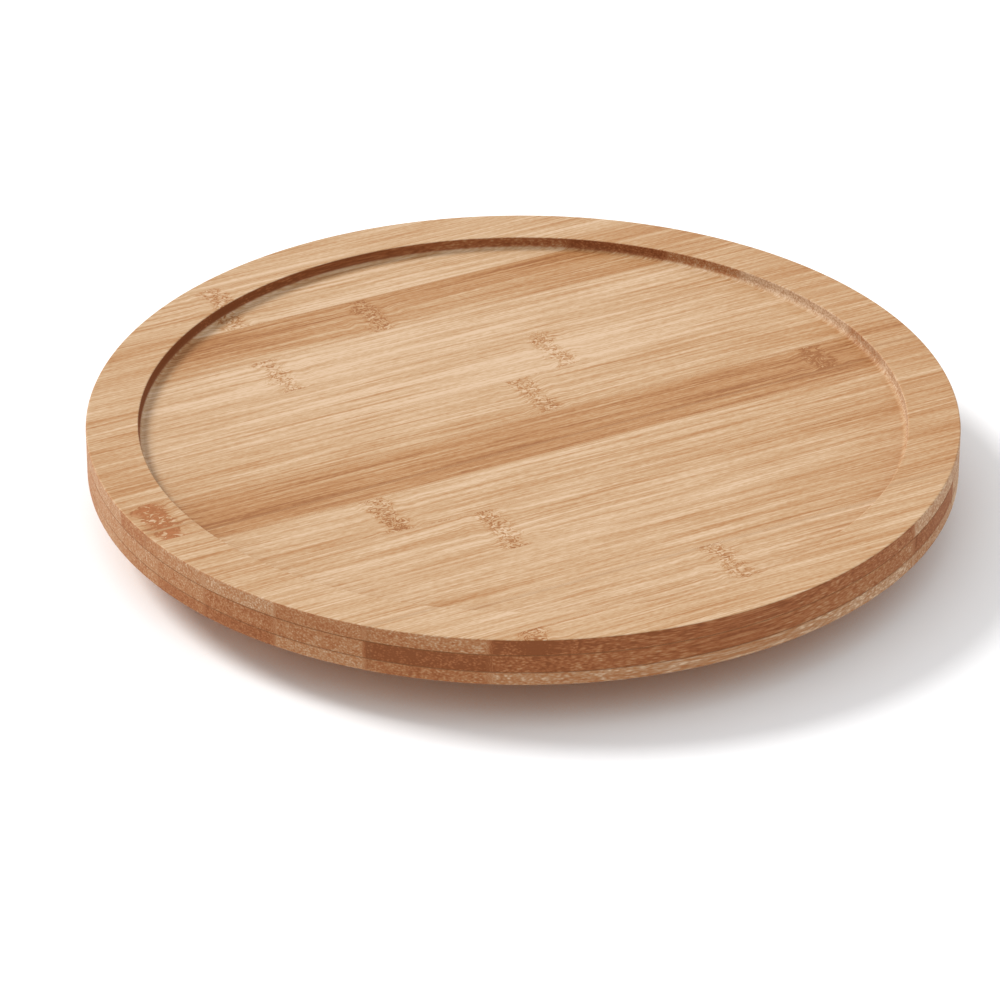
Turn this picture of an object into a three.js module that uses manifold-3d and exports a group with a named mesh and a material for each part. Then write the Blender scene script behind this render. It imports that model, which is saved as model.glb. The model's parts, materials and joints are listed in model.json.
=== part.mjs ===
// Lazy susan turntable: a round bamboo board with a raised rim, which turns on a flat ball
// bearing over a smaller bamboo base disc with rubber feet.
// Millimetres, +Z up. The origin is on the table, under the middle of the board.

import * as THREE from 'three';
import { mergeVertices } from 'three/addons/utils/BufferGeometryUtils.js';
import Module from 'manifold-3d';

const wasm = await Module();
wasm.setup();

// ---------- Driving dimensions ----------

// Board: three plies of bamboo glued into one disc, with a round recess turned in its top
const BOARD_DIAMETER = 350;
const TOP_PLY = 6.6;
const CORE_PLY = 7.2;
const BOTTOM_PLY = 5.4;
const GLUE_LINE = 0.3;
const RIM_WIDTH = 21;
const RECESS_DEPTH = 5;
const RECESS_COVE = 1.5; // radius of the inside corner between the recess wall and its floor
const ARRIS = 0.6; // edges of the board and of the base disc that a hand meets

// Bearing: two square plates pressed from sheet, with a ring of balls between them
const PLATE_SIDE = 150;
const PLATE_CORNER = 12;
const SHEET = 1;
const BALL_CIRCLE = 108; // diameter through the ball centres
const BALL_DIAMETER = 4.8;
const BALL_COUNT = 16;
const BALL_CLEARANCE = 0.15;
const TRACK_RELIEF = 0.45; // from the back of a ball groove to the wood behind it
const OUTER_LAND = 2; // flat of the pressed ring outside the ball groove
const INNER_LAND = 5.45; // flat of the upper plate between the ball groove and its hole
const COLLAR_CLEARANCE = 1; // from the lower plate's collar to the upper plate's hole
const LIP_OVERLAP = 2.5; // how far the collar's lip reaches over the upper plate
const LIP_CLEARANCE = 0.3;
const LIP_RELIEF = 0.2; // from the top of the lip to the top of the bearing
const RETAINER_WIDTH = 9;
const RETAINER_THICKNESS = 1.2;
const POCKET_CLEARANCE = 0.2;

// Base disc and its feet
const BASE_THICKNESS = 8;
const BASE_MARGIN = 9; // wood left outside the plate's corners
const ACCESS_HOLE = 16; // diameter of the hole that a screwdriver goes through
const FOOT_DIAMETER = 16;
const FOOT_HEIGHT = 3;
const FOOT_CHAMFER = 0.8;
const FOOT_INSET = 14; // from the base disc's edge to a foot's centre

// Pan-head wood screws
const SCREW_INSET = 10; // from the plate's sides to a screw's axis
const SCREW_DIAMETER = 3.5;
const SCREW_HEAD_DIAMETER = 6.5;
const SCREW_HEAD_HEIGHT = 2.2;
const SCREW_HEAD_SIDE = 0.5; // upright part of the head's side, as a share of its height
const SCREW_CROWN_RADIUS = 0.7; // where the head's crown flattens, as shares of its size
const SCREW_CROWN_HEIGHT = 0.9;
const SCREW_TIP = 2.5; // length of the point
const SCREW_COVER = 2.2; // wood left past a screw's tip
const PLATE_HOLE_CLEARANCE = 0.45;
const PILOT_CLEARANCE = 0.15;
const PILOT_EXTRA_DEPTH = 0.5;

const CONTACT_GAP = 0.1; // left between two faces that bear on each other
const OVERSHOOT = 1; // how far a cutting tool runs past the face that it enters

// Facets
const BOARD_SEGMENTS = 96;
const PLATE_SEGMENTS = 48;
const GROOVE_STEPS = 4;
const CORNER_STEPS = 4;
const COVE_STEPS = 2;
const FOOT_SEGMENTS = 16;
const SCREW_SEGMENTS = 12;
const HOLE_SEGMENTS = 12;
const BALL_SEGMENTS = 8;
const BALL_RINGS = 6;

// ---------- Derived places and sizes ----------

const boardRadius = BOARD_DIAMETER / 2;
const recessRadius = boardRadius - RIM_WIDTH;

const ballCircleRadius = BALL_CIRCLE / 2;
const ballFaceGroove = BALL_DIAMETER / 2 + BALL_CLEARANCE; // radius of the groove on the ball side
const backFaceGroove = ballFaceGroove + SHEET; // and on the back of the sheet
const bearingHeight = 2 * (backFaceGroove + TRACK_RELIEF);
const pressDepth = LIP_CLEARANCE + SHEET + LIP_RELIEF; // from a plate's flange in to its ring
const ringRadius = ballCircleRadius + backFaceGroove + OUTER_LAND;
const upperHoleRadius = ballCircleRadius - backFaceGroove - INNER_LAND;
const collarRadius = upperHoleRadius - COLLAR_CLEARANCE;

const cornerReach = PLATE_SIDE / Math.SQRT2 - PLATE_CORNER * (Math.SQRT2 - 1);
const baseRadius = cornerReach + BASE_MARGIN;
const screwSpacing = PLATE_SIDE - 2 * SCREW_INSET;
const screwCircleRadius = screwSpacing / Math.SQRT2;
const pilotRadius = SCREW_DIAMETER / 2 + PILOT_CLEARANCE;

const baseLevel = FOOT_HEIGHT + CONTACT_GAP;
const bearingLevel = baseLevel + BASE_THICKNESS + CONTACT_GAP;
const boardLevel = bearingLevel + bearingHeight + CONTACT_GAP;
const coreLevel = boardLevel + BOTTOM_PLY + GLUE_LINE;
const topLevel = coreLevel + CORE_PLY + GLUE_LINE;

const lowerScrewSeat = bearingLevel + SHEET + CONTACT_GAP;
const upperScrewSeat = bearingLevel + bearingHeight - SHEET - CONTACT_GAP;
const lowerScrewLength = lowerScrewSeat - baseLevel - SCREW_COVER;
const upperScrewLength = coreLevel + CORE_PLY - SCREW_COVER - upperScrewSeat;

// ---------- Solid geometry ----------

// A closed manifold-3d solid of a three.js geometry
function toSolid(geometry) {
  const bare = geometry.clone();
  bare.deleteAttribute('normal');
  bare.deleteAttribute('uv');
  const merged = mergeVertices(bare);
  const corners = Array.from(merged.index.array);
  const triVerts = [];
  for (let i = 0; i < corners.length; i += 3) {
    const [a, b, c] = corners.slice(i, i + 3);
    if (a !== b && b !== c && c !== a) triVerts.push(a, b, c);
  }
  return new wasm.Manifold(new wasm.Mesh({
    numProp: 3,
    vertProperties: merged.attributes.position.array,
    triVerts: new Uint32Array(triVerts),
  }));
}

// A three.js geometry of a manifold-3d solid
function toGeometry(solid) {
  const { vertProperties, triVerts } = solid.getMesh();
  const geometry = new THREE.BufferGeometry();
  geometry.setAttribute('position', new THREE.BufferAttribute(vertProperties, 3));
  geometry.setIndex(new THREE.BufferAttribute(triVerts, 1));
  geometry.computeVertexNormals();
  return geometry;
}

function withCuts(solid, tools) {
  return toGeometry(tools.reduce((rest, tool) => rest.subtract(tool), solid));
}

// A body turned about +Z from [radius, height] pairs, listed with the outside running upwards
function turned(profile, segments) {
  const points = profile.map(([radius, height]) => new THREE.Vector2(radius, height));
  return new THREE.LatheGeometry(points, segments).rotateX(Math.PI / 2);
}

// An upright cylinder that cuts a hole at one place
function drill([x, y], radius, low, high) {
  const tool = new THREE.CylinderGeometry(radius, radius, high - low, HOLE_SEGMENTS);
  return toSolid(tool.rotateX(Math.PI / 2).translate(x, y, (low + high) / 2));
}

// The corners of a square around the origin, from +X +Y on anticlockwise
function squareCorners(spacing) {
  const half = spacing / 2;
  return [[half, half], [-half, half], [-half, -half], [half, -half]];
}

const onCircle = (radius, angle) => [radius * Math.cos(angle), radius * Math.sin(angle)];

// ---------- Board ----------

// The board's upper layer: the rim, the recess inside it and the floor left under the recess
function boardTopPly() {
  const floor = TOP_PLY - RECESS_DEPTH;
  const cove = [];
  for (let i = 0; i <= COVE_STEPS; i++) {
    const angle = (Math.PI / 2) * (i / COVE_STEPS);
    cove.push([
      recessRadius - RECESS_COVE * (1 - Math.cos(angle)),
      floor + RECESS_COVE * (1 - Math.sin(angle)),
    ]);
  }
  return turned([
    [0, 0],
    [boardRadius, 0],
    [boardRadius, TOP_PLY - ARRIS],
    [boardRadius - ARRIS, TOP_PLY],
    [recessRadius + ARRIS, TOP_PLY],
    [recessRadius, TOP_PLY - ARRIS],
    ...cove,
    [0, floor],
  ], BOARD_SEGMENTS);
}

// The middle layer, with blind holes for the screws' points
function boardCorePly() {
  const disc = turned([
    [0, 0],
    [boardRadius, 0],
    [boardRadius, CORE_PLY],
    [0, CORE_PLY],
  ], BOARD_SEGMENTS);
  const holeTop = CORE_PLY - SCREW_COVER + PILOT_EXTRA_DEPTH;
  const holes = squareCorners(screwSpacing).map((place) => {
    return drill(place, pilotRadius, -OVERSHOOT, holeTop);
  });
  return withCuts(toSolid(disc), holes);
}

// The lowest layer, which the upper bearing plate is screwed to
function boardBottomPly() {
  const disc = turned([
    [0, 0],
    [boardRadius - ARRIS, 0],
    [boardRadius, ARRIS],
    [boardRadius, BOTTOM_PLY],
    [0, BOTTOM_PLY],
  ], BOARD_SEGMENTS);
  const holes = squareCorners(screwSpacing).map((place) => {
    return drill(place, pilotRadius, -OVERSHOOT, BOTTOM_PLY + OVERSHOOT);
  });
  return withCuts(toSolid(disc), holes);
}

// ---------- Bearing ----------

// One face of the lower plate, from beyond its corners in to the inner side of the ball groove.
// The ball face carries the balls, and the back face lies on the wood.
function plateFace(isBallFace) {
  const flangeHeight = isBallFace ? SHEET : 0;
  const groove = isBallFace ? ballFaceGroove : backFaceGroove;
  const bend = isBallFace ? 0 : SHEET * (Math.SQRT2 - 1); // keeps the slope as thick as the sheet
  const landHeight = pressDepth + flangeHeight;
  const halfAngle = Math.acos((bearingHeight / 2 - landHeight) / groove);
  const points = [
    [PLATE_SIDE, flangeHeight],
    [ringRadius + pressDepth - bend, flangeHeight],
    [ringRadius - bend, landHeight],
  ];
  for (let i = 0; i <= GROOVE_STEPS; i++) {
    const angle = halfAngle * (1 - (2 * i) / GROOVE_STEPS);
    points.push([
      ballCircleRadius + groove * Math.sin(angle),
      bearingHeight / 2 - groove * Math.cos(angle),
    ]);
  }
  return points;
}

// A turned sheet trimmed to a square with round corners, with its four screw holes
function squarePlate(profile) {
  const half = PLATE_SIDE / 2 - PLATE_CORNER;
  const outline = new THREE.Shape();
  squareCorners(2 * half).forEach(([x, y], i) => {
    outline.absarc(x, y, PLATE_CORNER, (i * Math.PI) / 2, ((i + 1) * Math.PI) / 2);
  });
  const trim = new THREE.ExtrudeGeometry(outline, {
    depth: bearingHeight + 2 * OVERSHOOT,
    bevelEnabled: false,
    curveSegments: CORNER_STEPS,
  }).translate(0, 0, -OVERSHOOT);
  const sheet = turned([...profile, profile[0]], PLATE_SEGMENTS);
  const holeRadius = SCREW_DIAMETER / 2 + PLATE_HOLE_CLEARANCE;
  const holes = squareCorners(screwSpacing).map((place) => {
    return drill(place, holeRadius, -OVERSHOOT, bearingHeight + OVERSHOOT);
  });
  return withCuts(toSolid(sheet).intersect(toSolid(trim)), holes);
}

// The plate on the base disc. Its collar rises through the upper plate's hole, and the lip at
// the top of the collar keeps the two plates together.
function lowerBearingPlate() {
  const lipTop = bearingHeight - LIP_RELIEF;
  const lipReach = upperHoleRadius + LIP_OVERLAP;
  return squarePlate([
    ...plateFace(true),
    [collarRadius, pressDepth + SHEET],
    [collarRadius, lipTop - SHEET],
    [lipReach, lipTop - SHEET],
    [lipReach, lipTop],
    [collarRadius - SHEET, lipTop],
    [collarRadius - SHEET, pressDepth],
    ...plateFace(false).reverse(),
  ]);
}

// The plate under the board: the lower plate's pressing turned over, with a plain hole
function upperBearingPlate() {
  const turnedOver = ([radius, height]) => [radius, bearingHeight - height];
  return squarePlate([
    ...plateFace(false).map(turnedOver),
    [upperHoleRadius, bearingHeight - pressDepth],
    [upperHoleRadius, bearingHeight - pressDepth - SHEET],
    ...plateFace(true).map(turnedOver).reverse(),
  ]);
}

const ballAngle = (i) => ((i + 0.5) * 2 * Math.PI) / BALL_COUNT;

// The ring that spaces the balls, with a round pocket for each
function ballRetainer() {
  const inner = ballCircleRadius - RETAINER_WIDTH / 2;
  const outer = ballCircleRadius + RETAINER_WIDTH / 2;
  const top = RETAINER_THICKNESS / 2;
  const ring = turned([
    [inner, -top],
    [outer, -top],
    [outer, top],
    [inner, top],
    [inner, -top],
  ], PLATE_SEGMENTS);
  const pocketRadius = (BALL_DIAMETER / 2 + POCKET_CLEARANCE) / Math.cos(Math.PI / HOLE_SEGMENTS);
  const pockets = [];
  for (let i = 0; i < BALL_COUNT; i++) {
    const place = onCircle(ballCircleRadius, ballAngle(i));
    pockets.push(drill(place, pocketRadius, -top - OVERSHOOT, top + OVERSHOOT));
  }
  return withCuts(toSolid(ring), pockets);
}

function bearingBall() {
  return new THREE.SphereGeometry(BALL_DIAMETER / 2, BALL_SEGMENTS, BALL_RINGS);
}

// ---------- Screws, base disc and feet ----------

// A screw with its head up: the head's seat is at height 0 and the point hangs below it
function panHeadScrew(length) {
  const shank = SCREW_DIAMETER / 2;
  const head = SCREW_HEAD_DIAMETER / 2;
  return turned([
    [0, -length],
    [shank, -length + SCREW_TIP],
    [shank, 0],
    [head, 0],
    [head, SCREW_HEAD_HEIGHT * SCREW_HEAD_SIDE],
    [head * SCREW_CROWN_RADIUS, SCREW_HEAD_HEIGHT * SCREW_CROWN_HEIGHT],
    [0, SCREW_HEAD_HEIGHT],
  ], SCREW_SEGMENTS);
}

// The disc that stands on the table, with blind holes for the lower plate's screws and one hole
// on the screw circle, clear of the lower plate, for reaching the upper plate's screws
function baseDisc() {
  const disc = turned([
    [0, 0],
    [baseRadius - ARRIS, 0],
    [baseRadius, ARRIS],
    [baseRadius, BASE_THICKNESS - ARRIS],
    [baseRadius - ARRIS, BASE_THICKNESS],
    [0, BASE_THICKNESS],
  ], BOARD_SEGMENTS);
  const holeFloor = SCREW_COVER - PILOT_EXTRA_DEPTH;
  const holes = squareCorners(screwSpacing).map((place) => {
    return drill(place, pilotRadius, holeFloor, BASE_THICKNESS + OVERSHOOT);
  });
  const accessRadius = ACCESS_HOLE / 2;
  const accessPlace = [screwCircleRadius, 0];
  const access = drill(accessPlace, accessRadius, -OVERSHOOT, BASE_THICKNESS + OVERSHOOT);
  return withCuts(toSolid(disc), [...holes, access]);
}

function rubberFoot() {
  const radius = FOOT_DIAMETER / 2;
  return turned([
    [0, 0],
    [radius - FOOT_CHAMFER, 0],
    [radius, FOOT_CHAMFER],
    [radius, FOOT_HEIGHT],
    [0, FOOT_HEIGHT],
  ], FOOT_SEGMENTS);
}

// ---------- Materials ----------

const bamboo = (color) => new THREE.MeshStandardMaterial({ color, roughness: 0.55, metalness: 0 });
const lightBamboo = bamboo(0xd9b690);
const brownBamboo = bamboo(0xa97b52);
const paleBamboo = bamboo(0xc9a277);
const zincPlate = new THREE.MeshStandardMaterial({ color: 0xb9bcbf, roughness: 0.35, metalness: 1 });
const ballSteel = new THREE.MeshStandardMaterial({ color: 0xd2d4d6, roughness: 0.12, metalness: 1 });
const screwSteel = new THREE.MeshStandardMaterial({ color: 0xc4c2b8, roughness: 0.3, metalness: 1 });
const whiteNylon = new THREE.MeshStandardMaterial({ color: 0xe6e3da, roughness: 0.5, metalness: 0 });
const blackRubber = new THREE.MeshStandardMaterial({ color: 0x1d1d1e, roughness: 0.85, metalness: 0 });

// ---------- Assembly ----------

function named(name, geometry, material, x = 0, y = 0, z = 0) {
  const mesh = new THREE.Mesh(geometry, material);
  mesh.name = name;
  mesh.position.set(x, y, z);
  return mesh;
}

// The part that turns
function turntable() {
  const group = new THREE.Group();
  group.add(named('board_top_ply', boardTopPly(), lightBamboo, 0, 0, topLevel));
  group.add(named('board_core_ply', boardCorePly(), brownBamboo, 0, 0, coreLevel));
  group.add(named('board_bottom_ply', boardBottomPly(), paleBamboo, 0, 0, boardLevel));
  group.add(named('upper_bearing_plate', upperBearingPlate(), zincPlate, 0, 0, bearingLevel));
  squareCorners(screwSpacing).forEach(([x, y], i) => {
    const screw = panHeadScrew(upperScrewLength).rotateX(Math.PI);
    group.add(named(`upper_plate_screw_${i + 1}`, screw, screwSteel, x, y, upperScrewSeat));
  });
  return group;
}

// The balls and the ring that they share, which follow at half the board's speed
function ballRing() {
  const group = new THREE.Group();
  group.position.z = bearingLevel + bearingHeight / 2;
  group.add(named('ball_retainer', ballRetainer(), whiteNylon));
  for (let i = 0; i < BALL_COUNT; i++) {
    const [x, y] = onCircle(ballCircleRadius, ballAngle(i));
    const name = `bearing_ball_${String(i + 1).padStart(2, '0')}`;
    group.add(named(name, bearingBall(), ballSteel, x, y));
  }
  return group;
}

// The part that stands still
function base() {
  const group = new THREE.Group();
  group.add(named('base_disc', baseDisc(), paleBamboo, 0, 0, baseLevel));
  group.add(named('lower_bearing_plate', lowerBearingPlate(), zincPlate, 0, 0, bearingLevel));
  squareCorners(screwSpacing).forEach(([x, y], i) => {
    const screw = panHeadScrew(lowerScrewLength);
    group.add(named(`lower_plate_screw_${i + 1}`, screw, screwSteel, x, y, lowerScrewSeat));
  });
  squareCorners((baseRadius - FOOT_INSET) * Math.SQRT2).forEach(([x, y], i) => {
    group.add(named(`rubber_foot_${i + 1}`, rubberFoot(), blackRubber, x, y));
  });
  return group;
}

const lazySusan = new THREE.Group();
lazySusan.add(turntable(), ballRing(), base());

export default lazySusan;
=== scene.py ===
"""A bamboo lazy susan on a white table: a laminated board over a steel ball bearing and a base disc."""
import json
import math

import bmesh
import bpy
from mathutils import Matrix, Vector


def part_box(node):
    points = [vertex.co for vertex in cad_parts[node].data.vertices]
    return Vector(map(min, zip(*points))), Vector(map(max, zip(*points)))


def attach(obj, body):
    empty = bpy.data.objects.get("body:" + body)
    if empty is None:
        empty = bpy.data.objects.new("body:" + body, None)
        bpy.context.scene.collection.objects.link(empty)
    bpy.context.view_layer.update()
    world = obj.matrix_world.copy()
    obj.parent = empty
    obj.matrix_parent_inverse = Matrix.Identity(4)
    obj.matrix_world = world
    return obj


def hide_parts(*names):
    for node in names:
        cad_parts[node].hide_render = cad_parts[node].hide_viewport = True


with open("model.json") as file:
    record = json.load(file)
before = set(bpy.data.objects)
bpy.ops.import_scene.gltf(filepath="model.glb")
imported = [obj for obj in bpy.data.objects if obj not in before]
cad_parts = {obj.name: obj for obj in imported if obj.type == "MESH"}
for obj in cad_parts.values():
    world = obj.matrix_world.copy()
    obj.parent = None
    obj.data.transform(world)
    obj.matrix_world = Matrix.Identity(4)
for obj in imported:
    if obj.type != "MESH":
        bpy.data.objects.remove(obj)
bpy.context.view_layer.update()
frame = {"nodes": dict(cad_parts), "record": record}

MM = 0.001

# ---------- Places and sizes from the frame ----------

MOUNTS = {mount["name"]: mount for mount in frame["record"]["mounts"]}


def low(node):
    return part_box(node)[0]


def high(node):
    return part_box(node)[1]


def centre(node):
    return (low(node) + high(node)) / 2


BOARD_RADIUS = high("board_top_ply").x
BOARD_TOP = high("board_top_ply").z
RECESS_FLOOR = MOUNTS["tray_floor"]["pos_m"][2]
GLUE_LINE = low("board_top_ply").z - high("board_core_ply").z
BASE_RADIUS = high("base_disc").x
PLATE_HALF = high("upper_bearing_plate").x
BALL_RADIUS = (high("bearing_ball_01") - low("bearing_ball_01")).z / 2
BALL_CIRCLE = centre("bearing_ball_01").xy.length
BALL_LEVEL = centre("bearing_ball_01").z
BALLS = sorted(node for node in frame["nodes"] if node.startswith("bearing_ball_"))
SCREW_CIRCLE = centre("upper_plate_screw_1").xy.length

# ---------- Sizes that the frame doesn't hold ----------

RIM_WIDTH = 21 * MM
RECESS_COVE = 2.2 * MM
ARRIS = 0.6 * MM
PLY_ARRIS = 0.15 * MM  # where one ply's edge turns in to the glue line
GLUE_NOTCH = 0.16 * MM  # how far in from the board's side the plies really meet
GLUE_HALF = 0.47 * GLUE_LINE  # each ply's share of the glue line, which leaves a hair between them
BASE_ROUND = 1.2 * MM
SHEET = 1 * MM
BALL_CLEARANCE = 0.15 * MM
OUTER_LAND = 2 * MM
INSIDE_BEND = 0.7 * MM  # how the pressed sheet rounds on its two faces
OUTSIDE_BEND = 1.6 * MM
PLATE_CORNER = 12 * MM
UPPER_HOLE = 45 * MM
COLLAR = 44 * MM
LIP_OVERLAP = 2.5 * MM
PLATE_SCREW_HOLE = 2.2 * MM
PILOT_HOLE = 1.9 * MM
ACCESS_HOLE = 8 * MM
SCREW_SHANK = 1.75 * MM
SCREW_HEAD_HEIGHT = 2.2 * MM
THREAD_PITCH = 1.3 * MM
THREAD_DEPTH = 0.42 * MM
THREAD_START = 1.2 * MM  # below the head's seat
THREAD_RUNOUT = 1 * MM
SCREW_POINT = 2.6 * MM
PHILLIPS_HALF = 1.75 * MM
PHILLIPS_HALF_THICKNESS = 0.42 * MM
PHILLIPS_DEPTH = 1.5 * MM

BOARD_STEPS = 288
PLATE_STEPS = 192

# ---------- Mesh helpers ----------


def new_object(name, mesh):
    made = bpy.data.objects.new(name, mesh)
    bpy.context.scene.collection.objects.link(made)
    return made


def from_bmesh(name, bm):
    mesh = bpy.data.meshes.new(name)
    bmesh.ops.recalc_face_normals(bm, faces=bm.faces)
    bm.to_mesh(mesh)
    bm.free()
    return new_object(name, mesh)


def soften(piece, angle=35):
    """Smooth shading that keeps flat faces flat and edges sharper than the angle crisp."""
    piece.data.shade_smooth()
    piece.data.set_sharp_from_angle(angle=math.radians(angle))
    weighted = piece.modifiers.new("face_weighted_shading", "WEIGHTED_NORMAL")
    weighted.keep_sharp = True
    return piece


def filleted(corners, steps=5):
    """The points of a closed profile of (radius, height, fillet) corners, each rounded by its fillet."""
    points = []
    for i, (radius, height, fillet) in enumerate(corners):
        corner = Vector((radius, height))
        if fillet == 0:
            points.append(corner)
            continue
        before = (Vector(corners[i - 1][:2]) - corner).normalized()
        after = (Vector(corners[(i + 1) % len(corners)][:2]) - corner).normalized()
        half = before.angle(after) / 2
        middle = corner + (before + after).normalized() * (fillet / math.sin(half))
        start = corner + before * (fillet / math.tan(half)) - middle
        turn = math.copysign(math.pi - 2 * half, before.cross(after) * -1)
        for k in range(steps + 1):
            points.append(middle + Matrix.Rotation(turn * k / steps, 2) @ start)
    return points


def turned(name, profile, steps):
    """A body turned about +Z from the points of a closed (radius, height) profile."""
    bm = bmesh.new()
    rings = []
    for radius, height in profile:
        if radius < 1e-7:
            rings.append([bm.verts.new((0, 0, height))] * steps)
            continue
        ring = []
        for k in range(steps):
            angle = 2 * math.pi * k / steps
            ring.append(bm.verts.new((radius * math.cos(angle), radius * math.sin(angle), height)))
        rings.append(ring)
    for i, ring in enumerate(rings):
        above = rings[(i + 1) % len(rings)]
        for k in range(steps):
            n = (k + 1) % steps
            corners = list(dict.fromkeys([ring[k], ring[n], above[n], above[k]]))
            if len(corners) > 2:
                bm.faces.new(corners)
    return from_bmesh(name, bm)


def carve(piece, tool, operation="DIFFERENCE"):
    """Cuts a piece with a tool, which is used up."""
    cut = piece.modifiers.new("cut", "BOOLEAN")
    cut.operation = operation
    cut.solver = "EXACT"
    cut.object = tool
    bpy.context.view_layer.update()
    graph = bpy.context.evaluated_depsgraph_get()
    mesh = bpy.data.meshes.new_from_object(piece.evaluated_get(graph))
    piece.modifiers.clear()
    piece.data = mesh
    bpy.data.objects.remove(tool)
    return piece


def drill(piece, x, y, radius, bottom, top, flare=0.0):
    """Drills an upright hole. A flare breaks the edges of a hole whose ends are the piece's faces."""
    reach = 2 * MM
    profile = [(0, bottom), (radius, bottom), (radius, top), (0, top)]
    if flare:
        wide = radius + flare + reach
        profile = [
            (0, bottom - reach), (wide, bottom - reach), (radius, bottom + flare),
            (radius, top - flare), (wide, top + reach), (0, top + reach),
        ]
    tool = turned("drill", profile, 48)
    tool.location = (x, y, 0)
    return carve(piece, tool)


def square_corners(half):
    return [(half, half), (-half, half), (-half, -half), (half, -half)]


# ---------- Node helpers ----------


class Nodes:
    """A short way to build one material's node tree."""

    def __init__(self, name):
        self.material = bpy.data.materials.new(name)
        self.material.use_nodes = True
        self.tree = self.material.node_tree
        self.shader = self.tree.nodes["Principled BSDF"]

    def link(self, source, target):
        if isinstance(source, bpy.types.NodeSocket):
            self.tree.links.new(source, target)
        else:
            target.default_value = source

    def node(self, kind, inputs=None, **settings):
        made = self.tree.nodes.new(kind)
        for key, value in settings.items():
            setattr(made, key, value)
        for key, value in (inputs or {}).items():
            self.link(value, made.inputs[key])
        return made

    def math(self, operation, a, b=0.0):
        return self.node("ShaderNodeMath", {0: a, 1: b}, operation=operation).outputs[0]

    def plus(self, a, b):
        return self.math("ADD", a, b)

    def minus(self, a, b):
        return self.math("SUBTRACT", a, b)

    def times(self, a, b):
        return self.math("MULTIPLY", a, b)

    def remap(self, value, from_low, from_high, to_low=0.0, to_high=1.0, smooth=False):
        inputs = {0: value, 1: from_low, 2: from_high, 3: to_low, 4: to_high}
        made = self.node("ShaderNodeMapRange", inputs, clamp=True)
        if smooth:
            made.interpolation_type = "SMOOTHSTEP"
        return made.outputs[0]

    def combine(self, x, y, z):
        return self.node("ShaderNodeCombineXYZ", {0: x, 1: y, 2: z}).outputs[0]

    def noise(self, vector, detail=2.0, roughness=0.5, distortion=0.0, scale=1.0):
        inputs = {
            "Vector": vector, "Scale": scale, "Detail": detail,
            "Roughness": roughness, "Distortion": distortion,
        }
        return self.node("ShaderNodeTexNoise", inputs).outputs["Fac"]

    def ramp(self, value, stops, interpolation="LINEAR"):
        made = self.node("ShaderNodeValToRGB", {0: value})
        made.color_ramp.interpolation = interpolation
        elements = made.color_ramp.elements
        while len(elements) < len(stops):
            elements.new(0.5)
        for element, (place, colour) in zip(elements, sorted(stops, key=lambda stop: stop[0])):
            element.position = place
            element.color = (*colour, 1)
        return made.outputs[0]

    def mix(self, factor, a, b, blend="MIX"):
        made = self.node("ShaderNodeMix", data_type="RGBA", blend_type=blend)
        for value, name in ((factor, "Factor_Float"), (a, "A_Color"), (b, "B_Color")):
            socket = next(s for s in made.inputs if s.identifier == name)
            self.link((*value, 1) if isinstance(value, tuple) and len(value) == 3 else value, socket)
        return next(s for s in made.outputs if s.identifier == "Result_Color")

    def bump(self, height, distance, strength=1.0):
        inputs = {"Height": height, "Distance": distance, "Strength": strength}
        self.link(self.node("ShaderNodeBump", inputs).outputs[0], self.shader.inputs["Normal"])

    def object_place(self):
        return self.node("ShaderNodeTexCoord").outputs["Object"]


# ---------- Bamboo ----------

GRAIN_ANGLE = math.radians(28)  # from +X round to the direction of the board's grain
STRIPS_SPAN = 360 * MM  # the strip tables' reach across the grain, centred on the axis

# Strips from the back left of the board to the front right: (width in mm, tone at the back edge,
# tone at the front edge, change of tone from the middle to the right, tone where the board's side
# cuts it, and the places of its nodes along the grain in mm)
TOP_STRIPS = [
    (25, 0.66, 0.7, 0.0, 0.7),
    (29, 0.72, 0.78, 0.0, 0.55, -67),
    (30, 0.28, 0.56, -0.05, 0.3, -13),
    (29, 0.88, 0.76, -0.05, 0.6, -70),
    (33, 0.8, 0.86, -0.08, 0.95, 40),
    (31, 0.75, 0.66, 0.0, 0.95, 15),
    (20, 0.46, 0.28, 0.0, 0.72, 133, -165),
    (9, 0.33, 0.48, 0.0, 0.75, -165),
    (28, 0.82, 0.64, -0.06, 0.88, -81),
    (32, 0.68, 0.76, -0.08, 0.9, -47),
    (32, 0.68, 0.66, -0.1, 0.68),
    (30, 0.72, 0.74, -0.05, 0.72, 19),
    (32, 0.68, 0.62, 0.0, 0.3, -77),
]
CORE_STRIPS = [
    (25, 0.4, 0.5, 0.0, 0.5, 20),
    (29, 0.5, 0.4, 0.1, 0.4, 80),
    (30, 0.3, 0.4, 0.0, 0.7, -100),
    (29, 0.4, 0.5, 0.1, 0.5, 50),
    (33, 0.5, 0.4, 0.0, 0.85, 0),
    (31, 0.4, 0.4, 0.0, 0.9, -30),
    (29, 0.4, 0.5, 0.1, 0.88, 120),
    (28, 0.5, 0.5, 0.0, 0.8, 70),
    (32, 0.4, 0.4, 0.0, 0.65, -60),
    (32, 0.5, 0.4, 0.0, 0.72, 10),
    (30, 0.3, 0.3, 0.0, 0.23, 90),
    (32, 0.4, 0.4, 0.0, 0.4, -150),
]
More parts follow.
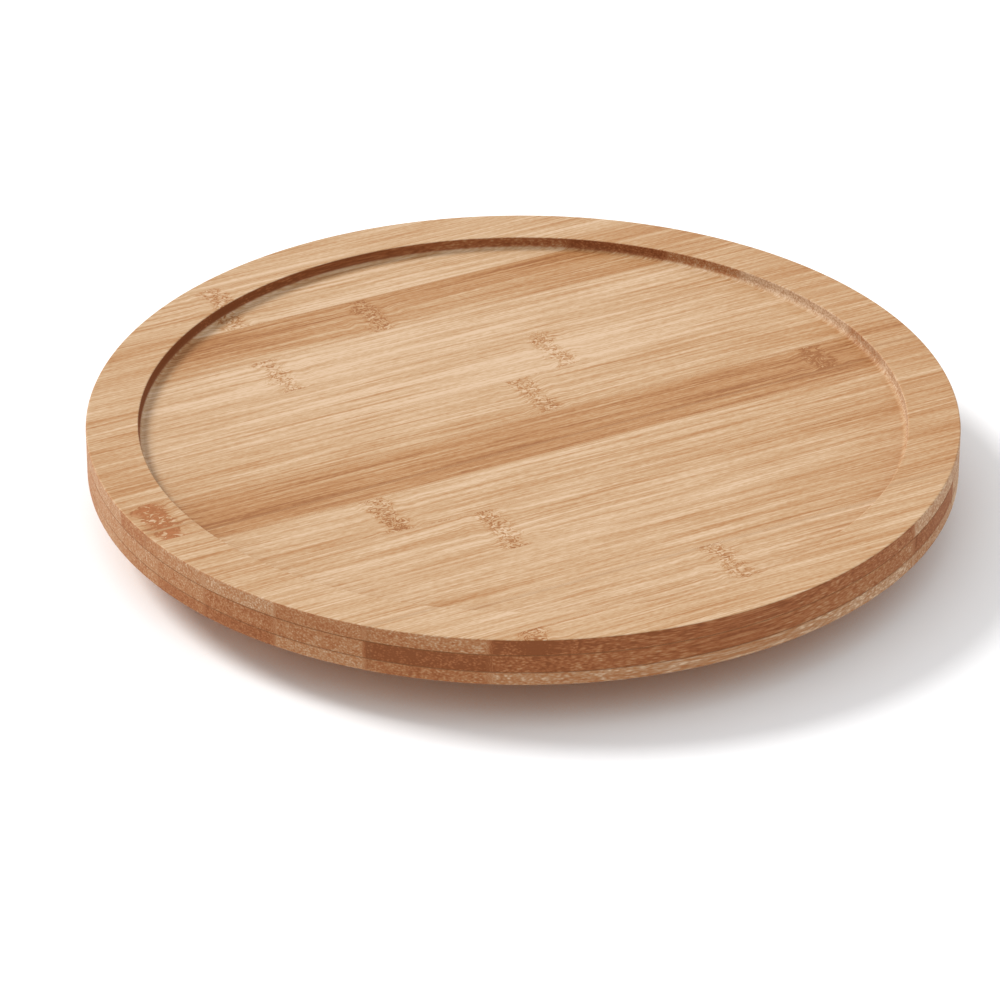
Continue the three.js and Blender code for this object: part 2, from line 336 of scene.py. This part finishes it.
BOTTOM_STRIPS = [
    (25, 0.6, 0.6, 0.0, 0.7, -40),
    (29, 0.7, 0.7, 0.1, 0.6, 60),
    (30, 0.5, 0.6, 0.0, 0.75, 110),
    (29, 0.7, 0.6, 0.1, 0.65, -90),
    (33, 0.6, 0.7, 0.0, 0.8, 30),
    (31, 0.7, 0.6, -0.1, 0.92, -20),
    (29, 0.35, 0.5, 0.0, 0.8, 140),
    (28, 0.7, 0.7, 0.1, 0.62, -120),
    (32, 0.6, 0.5, 0.0, 0.53, 75),
    (32, 0.7, 0.7, 0.0, 0.82, -55),
    (30, 0.6, 0.6, -0.1, 0.6, 5),
    (32, 0.7, 0.8, 0.0, 0.76, 95),
]
BASE_STRIPS = BOTTOM_STRIPS[::-1]

FACE_PALETTE = [
    (0.0, (0.27, 0.105, 0.033)),
    (0.2, (0.348, 0.16, 0.059)),
    (0.4, (0.403, 0.21, 0.091)),
    (0.6, (0.45, 0.274, 0.142)),
    (0.84, (0.524, 0.355, 0.214)),
    (1.0, (0.58, 0.41, 0.27)),
]
SIDE_PALETTE = [
    (0.0, (0.2, 0.06, 0.017)),
    (0.25, (0.28, 0.094, 0.032)),
    (0.5, (0.355, 0.157, 0.064)),
    (0.7, (0.4, 0.222, 0.116)),
    (0.85, (0.455, 0.285, 0.17)),
    (1.0, (0.58, 0.41, 0.27)),
]
NODE_STAIN = (0.34, 0.115, 0.036)
GLUE_BROWN = (0.2, 0.09, 0.035)  # between the strips of a ply
SEAM_BROWN = (0.2, 0.075, 0.025)  # between the plies
RIM_TONE = 0.72
BUNDLES_PER_METRE = 1250
CANE_LENGTH = 3.1  # how far along the cane the strips were cut from
SEED_STEP = 0.37  # between one strip and the next
NO_NODE = 480  # a place along the grain, in mm, that is off the board
RAMP_ZERO = 0.5  # a ramp's colours run from 0 to 1, so a value that can be negative is kept from here
JOINT_WIDTH = 1e-5  # shares of the strips' span
GLUE_WIDTH = 4e-4


def strip_ramps(strips):
    """Ramp stops across the board, with a jump at each joint between strips.

    The first ramp holds tone, side tone and seed, and the second the slope and the two nodes."""
    tones, nodes_and_slopes = [], []
    edge = 0.0
    for i, (width, back, front, slope, side, *nodes) in enumerate(strips):
        start, edge = edge, edge + width * MM / STRIPS_SPAN
        ends = (start + JOINT_WIDTH, edge - JOINT_WIDTH)
        seed = (i * SEED_STEP) % 1
        tones += [(ends[0], (back, side, seed)), (ends[1], (front, side, seed))]
        first, second = (at * MM + RAMP_ZERO for at in (*nodes, NO_NODE, NO_NODE)[:2])
        nodes_and_slopes += [(end, (slope + RAMP_ZERO, first, second)) for end in ends]
    return tones, nodes_and_slopes


def node_marks(n, along, across, up, seed, nodes):
    """Nodes are bands across the strip, where the fibres curl and bend.

    Returns how much of a node's mark is here, how much the fibres bend, and the curls."""
    ragged = n.noise(n.combine(n.times(along, 90), n.times(across, 200), seed), 2.0)
    wander = n.times(n.minus(ragged, 0.5), 12 * MM)
    distance = n.math("MINIMUM", *(
        n.math("ABSOLUTE", n.minus(along, n.minus(node, RAMP_ZERO))) for node in nodes))
    reach = n.plus(distance, wander)
    mark = n.remap(reach, 1.5 * MM, 7.5 * MM, 1.0, 0.0, smooth=True)
    bend = n.remap(distance, 4 * MM, 22 * MM, 1.0, 0.0, smooth=True)
    curl_place = n.combine(n.times(along, 270), n.times(across, 330), n.times(up, 330))
    return mark, bend, n.noise(curl_place, 1.5, 0.6, 1.6)


def cane_grain(n, along, across, up, seed, bend):
    """Streaks drawn out along the cane, so that cut ends show specks instead.

    Returns the noises from the broadest to the finest, and last the dark fibre bundles."""
    drift = n.noise(n.combine(n.times(along, 14), n.times(across, 40), seed), 1.0)
    eddy = n.noise(n.combine(n.times(along, 110), n.times(across, 90), seed), 1.0)
    wavy = n.plus(across, n.times(n.minus(drift, 0.5), 2.2 * MM))
    wavy = n.plus(wavy, n.times(n.minus(eddy, 0.5), n.times(bend, 6 * MM)))
    shifted = n.plus(along, n.times(seed, CANE_LENGTH))

    def grain(stretch, width, detail):
        place = n.combine(n.times(shifted, stretch), n.times(wavy, 1 / width), n.times(up, 1 / width))
        return n.noise(place, detail, 0.55)

    broad = grain(4, 9 * MM, 2.0)
    streaks = grain(10, 2.2 * MM, 2.0)
    fibres = grain(24, 0.8 * MM, 1.0)
    specks = grain(400, 0.65 * MM, 1.0)
    bundle_place = n.combine(
        n.times(shifted, 16), n.times(wavy, BUNDLES_PER_METRE), n.times(up, BUNDLES_PER_METRE))
    cells = n.node("ShaderNodeTexVoronoi", {"Vector": bundle_place, "Scale": 1.0}, feature="F1")
    bundles = n.remap(cells.outputs["Distance"], 0.05, 0.7, 1.0, 0.0, smooth=True)
    return broad, streaks, fibres, specks, bundles


def glue_lines(n, colour, place, up, strips, seams):
    """Draws the hair-thin joints between strips, and the brown lines between plies."""
    joints, edge = [], 0.0
    for strip in strips[:-1]:
        edge += strip[0] * MM / STRIPS_SPAN
        joints += [(edge - GLUE_WIDTH, (1, 1, 1)), (edge + GLUE_WIDTH, (0, 0, 0))]
    glue = n.ramp(place, [(0.0, (0, 0, 0)), *joints], "CONSTANT")
    colour = n.mix(n.times(glue, 0.16), colour, GLUE_BROWN)
    for seam in seams:
        height = n.math("ABSOLUTE", n.minus(up, seam))
        colour = n.mix(n.remap(height, 0.1 * MM, 0.4 * MM, 0.6, 0.0), colour, SEAM_BROWN)
    return colour


def bamboo(name, strips, angle, seams=()):
    """Laminated bamboo: edge-glued strips with streaks, dark fibre bundles and a node here and there."""
    n = Nodes(name)
    turn = n.node("ShaderNodeMapping", {"Vector": n.object_place(), "Rotation": (0, 0, -angle)})
    along, across, up = n.node("ShaderNodeSeparateXYZ", {0: turn.outputs[0]}).outputs
    place = n.remap(across, STRIPS_SPAN / 2, -STRIPS_SPAN / 2)
    tones, nodes_and_slopes = (n.ramp(place, stops) for stops in strip_ramps(strips))
    face_tone, side_tone, seed = n.node("ShaderNodeSeparateColor", {0: tones}).outputs
    slope, *nodes = n.node("ShaderNodeSeparateColor", {0: nodes_and_slopes}).outputs
    mark, bend, curls = node_marks(n, along, across, up, seed, nodes)
    broad, streaks, fibres, specks, bundles = cane_grain(n, along, across, up, seed, bend)
    out = n.times(along, 1 / BOARD_RADIUS)
    out_squared = n.times(out, out)

    def vary(total, value, amount):
        return n.plus(total, n.times(n.minus(value, 0.5), amount))

    # Flecks in a node's mark, darker in the nodes near the rim
    lines = n.remap(n.math("ABSOLUTE", n.minus(curls, 0.5)), 0.0, 0.08, 1.0, 0.0)
    flecks = n.minus(n.times(n.remap(curls, 0.58, 0.72), 0.26), n.times(lines, 0.6))
    flecks = n.times(flecks, n.plus(n.times(out_squared, 1.1), 1.0))
    flecks = n.minus(flecks, n.times(out_squared, 0.16))

    # Faces. The rim is the outer skin of the cane, more even than the wood that the recess lays bare
    skin = n.remap(up, RECESS_FLOOR + MM, BOARD_TOP - MM, 0.0, 0.8)
    face_tone = n.plus(face_tone, n.times(n.minus(RIM_TONE, face_tone), skin))
    sloped = n.minus(n.times(n.minus(slope, RAMP_ZERO), out), n.times(out_squared, 0.18))
    face = vary(vary(n.plus(face_tone, sloped), broad, 0.4), streaks, 0.95)
    face = vary(vary(face, fibres, 1.0), specks, 0.6)
    face = n.plus(n.minus(face, n.times(bundles, 0.07)), n.times(mark, flecks))
    stain = n.times(n.times(mark, out_squared), n.remap(curls, 0.4, 0.62, 1.2, 0.25))
    face_colour = n.mix(n.times(stain, skin), n.ramp(face, FACE_PALETTE), NODE_STAIN)

    # Cut sides. Walls inside the board, such as the recess's, get painted shade, deepest on the left and
    # fading towards the right
    # Painted light: the cut sides turn lighter towards the right end of the grain
    cut = vary(vary(n.plus(side_tone, n.times(out, 0.2)), broad, 0.25), streaks, 0.5)
    cut = vary(vary(vary(cut, fibres, 0.6), specks, 0.45), bundles, 0.34)
    radius_squared = n.plus(n.times(along, along), n.times(across, across))
    inner_wall = n.math("LESS_THAN", radius_squared, (BOARD_RADIUS - RIM_WIDTH / 2) ** 2)
    # Painted shade on the inner walls, darkest on the left
    painted_wall_shade = n.minus(0.34, n.times(out, 0.24))
    cut = n.minus(n.minus(cut, n.times(mark, 0.3)), n.times(inner_wall, painted_wall_shade))
    normal = n.node("ShaderNodeSeparateXYZ", {0: n.node("ShaderNodeTexCoord").outputs["Normal"]})
    side = n.remap(n.math("ABSOLUTE", normal.outputs[2]), 0.85, 0.45, smooth=True)

    colour = n.mix(side, face_colour, n.ramp(cut, SIDE_PALETTE))
    n.link(glue_lines(n, colour, place, up, strips, seams), n.shader.inputs["Base Color"])
    rough = n.plus(n.remap(fibres, 0.25, 0.75, 0.46, 0.6), n.times(side, 0.2))
    n.link(rough, n.shader.inputs["Roughness"])
    n.shader.inputs["Specular IOR Level"].default_value = 0.18
    n.bump(n.plus(n.times(fibres, 0.6), n.times(bundles, -0.5)), 0.04 * MM, 0.6)
    return n.material


# ---------- Metals, nylon and rubber ----------


def zinc(name, colour, tint):
    """Bright zinc plating: a faintly mottled metal with fine rolling marks."""
    n = Nodes(name)
    place = n.object_place()
    mottle = n.noise(place, 3.0, 0.6, scale=55)
    drawn = n.node("ShaderNodeMapping", {"Vector": place, "Scale": (60, 2600, 900)})
    marks = n.noise(drawn.outputs[0], 2.0, 0.6)
    n.link(n.mix(n.remap(mottle, 0.35, 0.65), colour, tint), n.shader.inputs["Base Color"])
    n.shader.inputs["Metallic"].default_value = 1.0
    rough = n.plus(n.remap(mottle, 0.3, 0.7, 0.24, 0.36), n.times(marks, 0.1))
    n.link(rough, n.shader.inputs["Roughness"])
    n.bump(marks, 0.006 * MM, 0.5)
    return n.material


def ball_steel():
    n = Nodes("polished_ball_steel")
    place = n.object_place()
    haze = n.noise(place, 3.0, 0.6, scale=420)
    n.link(n.mix(haze, (0.62, 0.63, 0.65), (0.74, 0.74, 0.75)), n.shader.inputs["Base Color"])
    n.shader.inputs["Metallic"].default_value = 1.0
    n.link(n.remap(haze, 0.3, 0.7, 0.08, 0.18), n.shader.inputs["Roughness"])
    return n.material


def nylon():
    n = Nodes("moulded_white_nylon")
    place = n.object_place()
    cloud = n.noise(place, 3.0, 0.55, scale=130)
    grain = n.noise(place, 2.0, 0.6, scale=2600)
    n.link(n.mix(cloud, (0.7, 0.67, 0.58), (0.8, 0.78, 0.71)), n.shader.inputs["Base Color"])
    n.link(n.remap(cloud, 0.3, 0.7, 0.38, 0.52), n.shader.inputs["Roughness"])
    n.bump(grain, 0.02 * MM, 0.5)
    return n.material


def rubber():
    n = Nodes("black_foot_rubber")
    place = n.object_place()
    dust = n.noise(place, 4.0, 0.6, scale=260)
    grain = n.noise(place, 2.0, 0.6, scale=3200)
    n.link(n.mix(n.remap(dust, 0.45, 0.75), (0.016, 0.016, 0.017), (0.042, 0.041, 0.04)),
           n.shader.inputs["Base Color"])
    n.link(n.remap(dust, 0.3, 0.7, 0.62, 0.82), n.shader.inputs["Roughness"])
    n.bump(grain, 0.05 * MM, 0.6)
    return n.material


def table_white():
    n = Nodes("white_table")
    cloud = n.noise(n.object_place(), 2.0, 0.5, scale=6)
    white = n.mix(cloud, (0.92, 0.92, 0.925), (0.94, 0.94, 0.94))
    # Painted shade and warm bounce light: the table's colour turns darker and warmer where the wood
    # close above shuts it in
    near = n.node("ShaderNodeAmbientOcclusion", {"Distance": 0.06}, samples=4)
    painted_shade = n.math("POWER", n.minus(1.0, near.outputs["AO"]), 5.0)
    n.link(n.mix(painted_shade, white, TABLE_PAINTED_SHADE_TINT), n.shader.inputs["Base Color"])
    n.shader.inputs["Roughness"].default_value = 0.9
    n.shader.inputs["Specular IOR Level"].default_value = 0.1
    return n.material


# ---------- Pieces ----------


def place_piece(piece, node, body, material):
    piece.data.materials.clear()
    piece.data.materials.append(material)
    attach(piece, body)
    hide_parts(node)
    return piece


def screw_places():
    return square_corners(SCREW_CIRCLE / math.sqrt(2))


def top_ply():
    top, floor, bottom = BOARD_TOP, RECESS_FLOOR, low("board_top_ply").z
    recess = BOARD_RADIUS - RIM_WIDTH
    meet = bottom - GLUE_HALF
    profile = filleted([
        (0, meet, 0),
        (BOARD_RADIUS - GLUE_NOTCH, meet, 0),
        (BOARD_RADIUS - GLUE_NOTCH * 0.5, bottom, 0),
        (BOARD_RADIUS, bottom, PLY_ARRIS),
        (BOARD_RADIUS, top, ARRIS),
        (recess, top, ARRIS),
        (recess, floor, RECESS_COVE),
        (0, floor, 0),
    ], 6)
    return soften(turned("bamboo_board_top", profile, BOARD_STEPS))


def core_ply():
    top, bottom = high("board_core_ply").z, low("board_core_ply").z
    meet_top, meet_bottom = top + GLUE_HALF, bottom - GLUE_HALF
    profile = filleted([
        (0, meet_bottom, 0),
        (BOARD_RADIUS - GLUE_NOTCH, meet_bottom, 0),
        (BOARD_RADIUS - GLUE_NOTCH * 0.5, bottom, 0),
        (BOARD_RADIUS, bottom, PLY_ARRIS),
        (BOARD_RADIUS, top, PLY_ARRIS),
        (BOARD_RADIUS - GLUE_NOTCH * 0.5, top, 0),
        (BOARD_RADIUS - GLUE_NOTCH, meet_top, 0),
        (0, meet_top, 0),
    ], 4)
    piece = turned("bamboo_board_core", profile, BOARD_STEPS)
    tip = high("upper_plate_screw_1").z + 0.5 * MM
    for x, y in screw_places():
        drill(piece, x, y, PILOT_HOLE, bottom - MM, tip)
    return soften(piece)


def bottom_ply():
    top, bottom = high("board_bottom_ply").z, low("board_bottom_ply").z
    meet = top + GLUE_HALF
    profile = filleted([
        (0, bottom, 0),
        (BOARD_RADIUS, bottom, ARRIS),
        (BOARD_RADIUS, top, PLY_ARRIS),
        (BOARD_RADIUS - GLUE_NOTCH * 0.5, top, 0),
        (BOARD_RADIUS - GLUE_NOTCH, meet, 0),
        (0, meet, 0),
    ], 6)
    piece = turned("bamboo_board_bottom", profile, BOARD_STEPS)
    for x, y in screw_places():
        drill(piece, x, y, PILOT_HOLE, bottom - MM, meet + MM)
    return soften(piece)


def base_disc():
    top, bottom = high("base_disc").z, low("base_disc").z
    profile = filleted([
        (0, bottom, 0),
        (BASE_RADIUS, bottom, BASE_ROUND),
        (BASE_RADIUS, top, BASE_ROUND),
        (0, top, 0),
    ], 6)
    piece = turned("bamboo_base_disc", profile, PLATE_STEPS)
    tip = low("lower_plate_screw_1").z - 0.5 * MM
    for x, y in screw_places():
        drill(piece, x, y, PILOT_HOLE, tip, top + MM)
    drill(piece, SCREW_CIRCLE, 0, ACCESS_HOLE, bottom, top, flare=0.5 * MM)
    return soften(piece)


def plate_face(ball_side, press, back_level, up):
    """One face of a pressed plate, from beyond its corners in past the ball groove, as profile corners.

    back_level is the height of the plate's back, and up is 1 if the balls lie above it, or -1."""
    groove = BALL_RADIUS + BALL_CLEARANCE + (0 if ball_side else SHEET)
    level = SHEET if ball_side else 0.0
    land = press + level
    bend = 0.0 if ball_side else SHEET * (math.sqrt(2) - 1)
    ring = BALL_CIRCLE + BALL_RADIUS + BALL_CLEARANCE + SHEET + OUTER_LAND
    half_height = (BALL_LEVEL - back_level) * up
    half_angle = math.acos((half_height - land) / groove)
    fillet = OUTSIDE_BEND if ball_side else INSIDE_BEND
    corners = [
        (PLATE_HALF * 1.6, level, 0),
        (ring + press - bend, level, fillet),
        (ring - bend, land, INSIDE_BEND + OUTSIDE_BEND - fillet),
    ]
    steps = 14
    for i in range(steps + 1):
        angle = half_angle * (1 - 2 * i / steps)
        corners.append((
            BALL_CIRCLE + groove * math.sin(angle), half_height - groove * math.cos(angle), 0))
    return [(radius, back_level + up * height, fillet) for radius, height, fillet in corners]


def rounded_square(name, half, corner, bottom, top):
    """An upright prism on a square with round corners."""
    bm = bmesh.new()
    steps = 10
    outline = []
    for i, (x, y) in enumerate(square_corners(half - corner)):
        for k in range(steps + 1):
            angle = math.radians(90) * (i + k / steps)
            outline.append((x + corner * math.cos(angle), y + corner * math.sin(angle)))
    lower = [bm.verts.new((x, y, bottom)) for x, y in outline]
    upper = [bm.verts.new((x, y, top)) for x, y in outline]
    bm.faces.new(lower[::-1])
    bm.faces.new(upper)
    for i in range(len(outline)):
        n = (i + 1) % len(outline)
        bm.faces.new((lower[i], lower[n], upper[n], upper[i]))
    return from_bmesh(name, bm)


def trimmed_plate(name, corners):
    """A turned sheet trimmed to the plate's outline, with its screw holes and broken edges."""
    piece = turned(name, filleted(corners, 5), PLATE_STEPS)
    bottom = low("lower_bearing_plate").z - 2 * MM
    top = high("upper_bearing_plate").z + 2 * MM
    carve(piece, rounded_square("trim", PLATE_HALF, PLATE_CORNER, bottom, top), "INTERSECT")
    for x, y in screw_places():
        drill(piece, x, y, PLATE_SCREW_HOLE, bottom, top)
    bevel = piece.modifiers.new("broken_edges", "BEVEL")
    bevel.width = 0.12 * MM
    bevel.segments = 2
    bevel.limit_method = "ANGLE"
    bevel.angle_limit = math.radians(60)
    return soften(piece, 50)


def upper_plate():
    back = high("upper_bearing_plate").z
    press = back - low("upper_bearing_plate").z - SHEET
    return trimmed_plate("upper_bearing_plate_steel", [
        *plate_face(False, press, back, -1),
        (UPPER_HOLE, back - press, 0.2 * MM),
        (UPPER_HOLE, back - press - SHEET, 0.2 * MM),
        *reversed(plate_face(True, press, back, -1)),
    ])


def lower_plate():
    back = low("lower_bearing_plate").z
    lip = high("lower_bearing_plate").z
    press = high("upper_bearing_plate").z - low("upper_bearing_plate").z - SHEET
    reach = UPPER_HOLE + LIP_OVERLAP
    return trimmed_plate("lower_bearing_plate_steel", [
        *plate_face(True, press, back, 1),
        (COLLAR, back + press + SHEET, 0.5 * MM),
        (COLLAR, lip - SHEET, 0.3 * MM),
        (reach, lip - SHEET, 0.2 * MM),
        (reach, lip, 0.4 * MM),
        (COLLAR - SHEET, lip, 1.2 * MM),
        (COLLAR - SHEET, back + press, 1.2 * MM),
        *reversed(plate_face(False, press, back, 1)),
    ])


def retainer():
    """The nylon ring, thickened into a low wall round each ball's pocket."""
    bottom, top = low("ball_retainer").z, high("ball_retainer").z
    outer = high("ball_retainer").x
    inner = 2 * BALL_CIRCLE - outer
    edge = 0.3 * MM
    ring = filleted([
        (inner, bottom, edge),
        (outer, bottom, edge),
        (outer, top, edge),
        (inner, top, edge),
    ], 4)
    piece = turned("nylon_ball_retainer", ring, PLATE_STEPS)
    wall = BALL_RADIUS + 1.1 * MM
    stand = 0.35 * MM
    for node in BALLS:
        x, y = centre(node).xy
        boss = turned("boss", filleted([
            (0, bottom - stand, 0),
            (wall, bottom - stand, edge),
            (wall, top + stand, edge),
            (0, top + stand, 0),
        ], 3), 40)
        boss.location = (x, y, 0)
        carve(piece, boss, "UNION")
    for node in BALLS:
        x, y = centre(node).xy
        drill(piece, x, y, BALL_RADIUS + 0.2 * MM, bottom - 2 * MM, top + 2 * MM)
    return soften(piece, 40)


def ball(name, place):
    """A true ball from a rounded cube, so that it has no poles."""
    bm = bmesh.new()
    bmesh.ops.create_cube(bm, size=2)
    bmesh.ops.subdivide_edges(bm, edges=bm.edges, cuts=11, use_grid_fill=True)
    for vert in bm.verts:
        warped = Vector(math.tan(c * math.pi / 4) for c in vert.co)
        vert.co = place + warped.normalized() * BALL_RADIUS
    piece = from_bmesh(name, bm)
    piece.data.shade_smooth()
    return piece


def phillips_tool(seat):
    """The cross-shaped bit that leaves a screw's recess, narrowing downwards from the seat height."""
    ends = (
        (seat + MM, PHILLIPS_HALF * 1.15, PHILLIPS_HALF_THICKNESS),
        (seat - PHILLIPS_DEPTH, PHILLIPS_HALF * 0.35, PHILLIPS_HALF_THICKNESS * 0.6),
    )
    bm = bmesh.new()
    for turn in (0, 90):
        spin = Matrix.Rotation(math.radians(turn), 3, "Z")
        rows = []
        for height, half, thick in ends:
            rows.append([
                bm.verts.new(spin @ Vector((x * half, y * thick, height)))
                for x, y in ((-1, -1), (1, -1), (1, 1), (-1, 1))
            ])
        bm.faces.new(rows[0])
        bm.faces.new(rows[1][::-1])
        for i in range(4):
            n = (i + 1) % 4
            bm.faces.new((rows[0][i], rows[1][i], rows[1][n], rows[0][n]))
    return from_bmesh("bit", bm)


def screw(name, length, head_radius):
    """A pan-head wood screw, point down, with the head's seat at height 0."""
    head = turned(name, filleted([
        (0, 0, 0),
        (SCREW_SHANK * 0.75, 0, 0),
        (head_radius, 0, 0.15 * MM),
        (head_radius, SCREW_HEAD_HEIGHT * 0.5, 0.6 * MM),
        (head_radius * 0.72, SCREW_HEAD_HEIGHT * 0.9, 1.2 * MM),
        (0, SCREW_HEAD_HEIGHT, 0),
    ], 6), 64)
    carve(head, phillips_tool(SCREW_HEAD_HEIGHT * 0.95))
    around, rows_per_turn = 28, 12
    rows = int(length / THREAD_PITCH * rows_per_turn)
    hair = 0.02 * MM
    rings = []
    bm = bmesh.new()
    for j in range(rows + 1):
        depth = length * j / rows
        taper = min(1.0, (length - depth) / SCREW_POINT)
        runout = min(1.0, max(0.0, (depth - THREAD_START) / THREAD_RUNOUT))
        core = SCREW_SHANK - THREAD_DEPTH * (1 if depth > THREAD_START else 0.25)
        ring = []
        for k in range(around):
            phase = (depth / THREAD_PITCH + k / around) % 1
            crest = max(0.0, 1 - abs(phase - 0.5) / 0.24)
            radius = max((core + THREAD_DEPTH * crest * runout) * taper, hair)
            angle = 2 * math.pi * k / around
            place = (radius * math.cos(angle), radius * math.sin(angle), hair - depth)
            ring.append(bm.verts.new(place))
        rings.append(ring)
    bm.faces.new(rings[0][::-1])
    bm.faces.new(rings[-1])
    for upper, lower in zip(rings, rings[1:]):
        for k in range(around):
            n = (k + 1) % around
            bm.faces.new((upper[k], lower[k], lower[n], upper[n]))
    shank = from_bmesh("shank", bm)
    carve(head, shank, "UNION")
    return soften(head, 42)


def rubber_foot(name, node):
    """A pad with a rounded edge, three shallow grip grooves and a flat sole."""
    radius = (high(node) - low(node)).x / 2
    top, sole = high(node).z, low(node).z
    depth = 0.35 * MM
    corners = [(0, sole, 0)]
    for groove in (2.4 * MM, 4.0 * MM, 5.6 * MM):
        corners += [
            (groove - 0.3 * MM, sole, 0.08 * MM),
            (groove - 0.12 * MM, sole + depth, 0.1 * MM),
            (groove + 0.12 * MM, sole + depth, 0.1 * MM),
            (groove + 0.3 * MM, sole, 0.08 * MM),
        ]
    corners += [
        (radius - 0.35 * MM, sole, 0.6 * MM),
        (radius, sole + 1.1 * MM, 0.6 * MM),
        (radius, top, 0.25 * MM),
        (0, top, 0),
    ]
    piece = turned(name, filleted(corners, 4), 64)
    middle = centre(node)
    piece.data.transform(Matrix.Translation((middle.x, middle.y, 0)))
    return soften(piece)


def make_board():
    plies = (
        (top_ply, "board_top_ply", "bamboo_top", TOP_STRIPS),
        (core_ply, "board_core_ply", "bamboo_core", CORE_STRIPS),
        (bottom_ply, "board_bottom_ply", "bamboo_bottom", BOTTOM_STRIPS),
    )
    seams = [high(node).z + GLUE_LINE / 2 for node in ("board_bottom_ply", "board_core_ply")]
    for build, node, slot, strips in plies:
        wood = bamboo(slot + "_wood", strips, GRAIN_ANGLE, seams)
        place_piece(build(), node, "turntable", wood)


def body_holding(node):
    bodies = frame["record"]["behaviour"]["bodies"]
    return next(body for body, nodes in bodies.items() if node in nodes)


def make_bearing():
    plating = zinc("zinc_plating", (0.6, 0.615, 0.63), (0.66, 0.655, 0.62))
    place_piece(upper_plate(), "upper_bearing_plate", "turntable", plating)
    place_piece(lower_plate(), "lower_bearing_plate", "base", plating)
    place_piece(retainer(), "ball_retainer", "ball_ring", nylon())
    steel = ball_steel()
    for node in BALLS:
        piece = ball(node.replace("bearing_", "steel_"), centre(node))
        place_piece(piece, node, body_holding(node), steel)


def make_screws():
    plating = zinc("screw_plating", (0.66, 0.64, 0.55), (0.7, 0.66, 0.5))
    for level, body in (("upper", "turntable"), ("lower", "base")):
        first = f"{level}_plate_screw_1"
        head_radius = (high(first) - low(first)).x / 2
        length = (high(first) - low(first)).z - SCREW_HEAD_HEIGHT
        pattern = screw(f"{level}_screw_pattern", length, head_radius)
        for i in range(4):
            node = f"{level}_plate_screw_{i + 1}"
            piece = new_object(f"wood_screw_{level}_{i + 1}", pattern.data.copy())
            spin = Matrix.Rotation(math.radians(23 + 61 * i), 4, "Z")
            if level == "upper":
                seat = low(node).z + SCREW_HEAD_HEIGHT
                turn = Matrix.Rotation(math.pi, 4, "X") @ spin
            else:
                seat = high(node).z - SCREW_HEAD_HEIGHT
                turn = spin
            middle = centre(node)
            piece.data.transform(Matrix.Translation((middle.x, middle.y, seat)) @ turn)
            soften(piece, 42)
            place_piece(piece, node, body, plating)
        bpy.data.objects.remove(pattern)


def make_base():
    wood = bamboo("bamboo_base_wood", BASE_STRIPS, math.radians(-7))
    place_piece(base_disc(), "base_disc", "base", wood)
    black = rubber()
    for i in range(4):
        node = f"rubber_foot_{i + 1}"
        place_piece(rubber_foot(f"rubber_pad_{i + 1}", node), node, "base", black)


# ---------- Table, light and camera ----------

CAMERA_DISTANCE = 2.1306  # from the middle of the board's top
CAMERA_HEIGHT_ANGLE = math.radians(29)
CAMERA_LENS = 191.3
CAMERA_AIM = (-0.0089, -0.0703)  # point of the board's top that is in the middle of the picture
KEY_FROM = math.radians(152)  # direction that the main light comes from, round from +X
KEY_HEIGHT = math.radians(42)
KEY_STRENGTH = 2.6
KEY_SIZE = math.radians(22)
SKY_LOW = (0.81, 0.815, 0.83)  # light from level with the table, and from straight above
SKY_HIGH = (0.9, 0.9, 0.905)
TABLE_HALF = 40.0
TABLE_CLEARANCE = 0.02 * MM  # keeps the table's top out of the plane of the feet's soles
# colour of the painted shade and warm bounce on the table close under the wood
TABLE_PAINTED_SHADE_TINT = (0.93, 0.58, 0.4)


def make_table():
    bm = bmesh.new()
    bm.faces.new([bm.verts.new((x, y, -TABLE_CLEARANCE)) for x, y in square_corners(TABLE_HALF)])
    floor = from_bmesh("white_table", bm)
    floor.data.materials.append(table_white())


def make_light():
    sun = bpy.data.lights.new("window_light", "SUN")
    sun.energy = KEY_STRENGTH
    sun.angle = KEY_SIZE
    lamp = bpy.data.objects.new("window_light", sun)
    towards = Vector((
        math.cos(KEY_FROM) * math.cos(KEY_HEIGHT),
        math.sin(KEY_FROM) * math.cos(KEY_HEIGHT),
        math.sin(KEY_HEIGHT),
    ))
    lamp.rotation_euler = towards.to_track_quat("Z", "Y").to_euler()
    bpy.context.scene.collection.objects.link(lamp)
    world = bpy.data.worlds.new("soft_room")
    world.use_nodes = True
    tree = world.node_tree
    place = tree.nodes.new("ShaderNodeTexCoord")
    split = tree.nodes.new("ShaderNodeSeparateXYZ")
    ramp = tree.nodes.new("ShaderNodeValToRGB")
    ramp.color_ramp.elements[0].color = (*SKY_LOW, 1)
    ramp.color_ramp.elements[1].color = (*SKY_HIGH, 1)
    tree.links.new(place.outputs["Generated"], split.inputs[0])
    tree.links.new(split.outputs[2], ramp.inputs[0])
    tree.links.new(ramp.outputs[0], tree.nodes["Background"].inputs["Color"])
    bpy.context.scene.world = world


def make_camera():
    data = bpy.data.cameras.new("camera")
    data.lens = CAMERA_LENS
    camera = bpy.data.objects.new("camera", data)
    back = Vector((0, -math.cos(CAMERA_HEIGHT_ANGLE), math.sin(CAMERA_HEIGHT_ANGLE)))
    camera.location = Vector((0, 0, BOARD_TOP)) + back * CAMERA_DISTANCE
    aim = Vector((*CAMERA_AIM, BOARD_TOP))
    camera.rotation_euler = (camera.location - aim).to_track_quat("Z", "Y").to_euler()
    bpy.context.scene.collection.objects.link(camera)
    bpy.context.scene.camera = camera
    bpy.context.scene.view_settings.view_transform = "Standard"


make_camera()
make_light()
make_table()
make_board()
make_bearing()
make_screws()
make_base()
